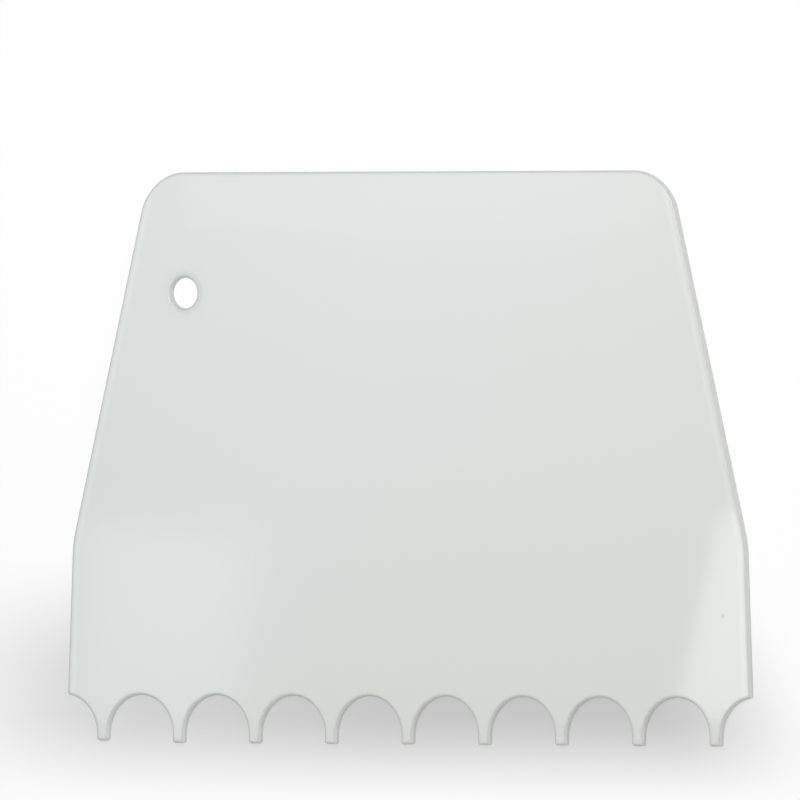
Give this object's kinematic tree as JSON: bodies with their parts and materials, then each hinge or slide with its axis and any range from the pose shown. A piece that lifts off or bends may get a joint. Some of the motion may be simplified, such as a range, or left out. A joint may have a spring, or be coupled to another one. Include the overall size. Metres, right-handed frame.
{
  "type": "dough scraper",
  "caption": "Flat one-piece plastic dough scraper with a tapered outline, rounded top corners, a hanging hole and a comb edge of blunt teeth with round gaps.",
  "frame": {"origin": "middle of the plate's bounding box, on the surface that the plate lies on", "axes": "+X along the comb edge, +Y from the comb to the straight top edge, +Z out of the upper face"},
  "size_m": [0.135, 0.095, 0.001],
  "materials": {
    "milky_plastic": "satin"
  },
  "bodies": {
    "root": {"scraper_plate": "milky_plastic"}
  },
  "joints": []
}
